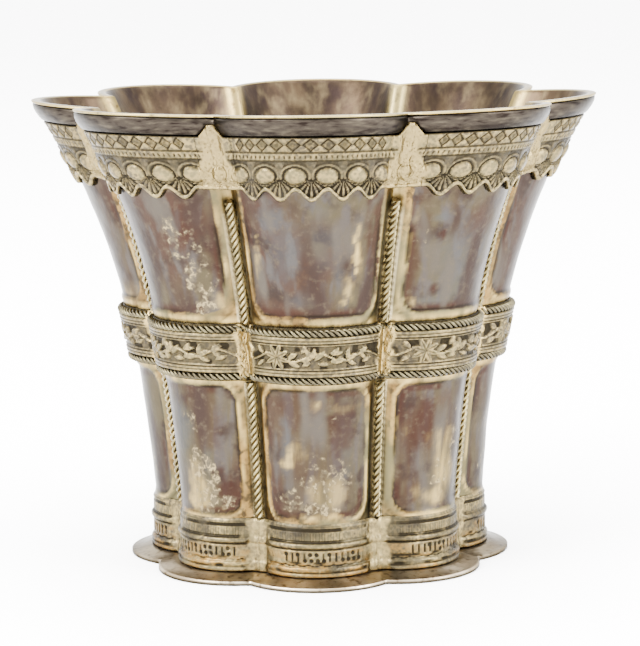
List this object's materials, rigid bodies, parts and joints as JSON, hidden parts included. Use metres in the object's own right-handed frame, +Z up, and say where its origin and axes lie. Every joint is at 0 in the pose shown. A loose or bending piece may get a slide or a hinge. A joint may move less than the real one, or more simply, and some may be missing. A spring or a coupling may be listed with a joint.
{
  "type": "lobed beaker",
  "caption": "Flared silver drinking beaker with a lobed wall, an engraved rim frieze, a waist belt, twisted wires in the valleys and a thin foot plate.",
  "frame": {"origin": "middle of the underside, on the surface that the beaker stands on", "axes": "+Z up along the beaker's axis, with the middle of one lobe on each of +X, -X, +Y and -Y"},
  "size_m": [0.122, 0.122, 0.1],
  "materials": {
    "tarnished_silver": "satin silver sheet under brown and grey tarnish",
    "engraved_band": "chased silver with pale worn gilding and dark recesses",
    "twisted_wire": "worn gilt silver wire with dark cuts",
    "worn_gilt_plate": "polished silver with worn gilding"
  },
  "bodies": {
    "root": {"beaker": "tarnished_silver", "rim_frieze": "engraved_band", "waist_belt": "engraved_band", "base_band": "engraved_band", "foot_plate": "worn_gilt_plate", "upper_wire_1": "twisted_wire", "upper_wire_2": "twisted_wire", "upper_wire_3": "twisted_wire", "upper_wire_4": "twisted_wire", "upper_wire_5": "twisted_wire", "upper_wire_6": "twisted_wire", "upper_wire_7": "twisted_wire", "upper_wire_8": "twisted_wire", "lower_wire_1": "twisted_wire", "lower_wire_2": "twisted_wire", "lower_wire_3": "twisted_wire", "lower_wire_4": "twisted_wire", "lower_wire_5": "twisted_wire", "lower_wire_6": "twisted_wire", "lower_wire_7": "twisted_wire", "lower_wire_8": "twisted_wire"}
  },
  "joints": []
}
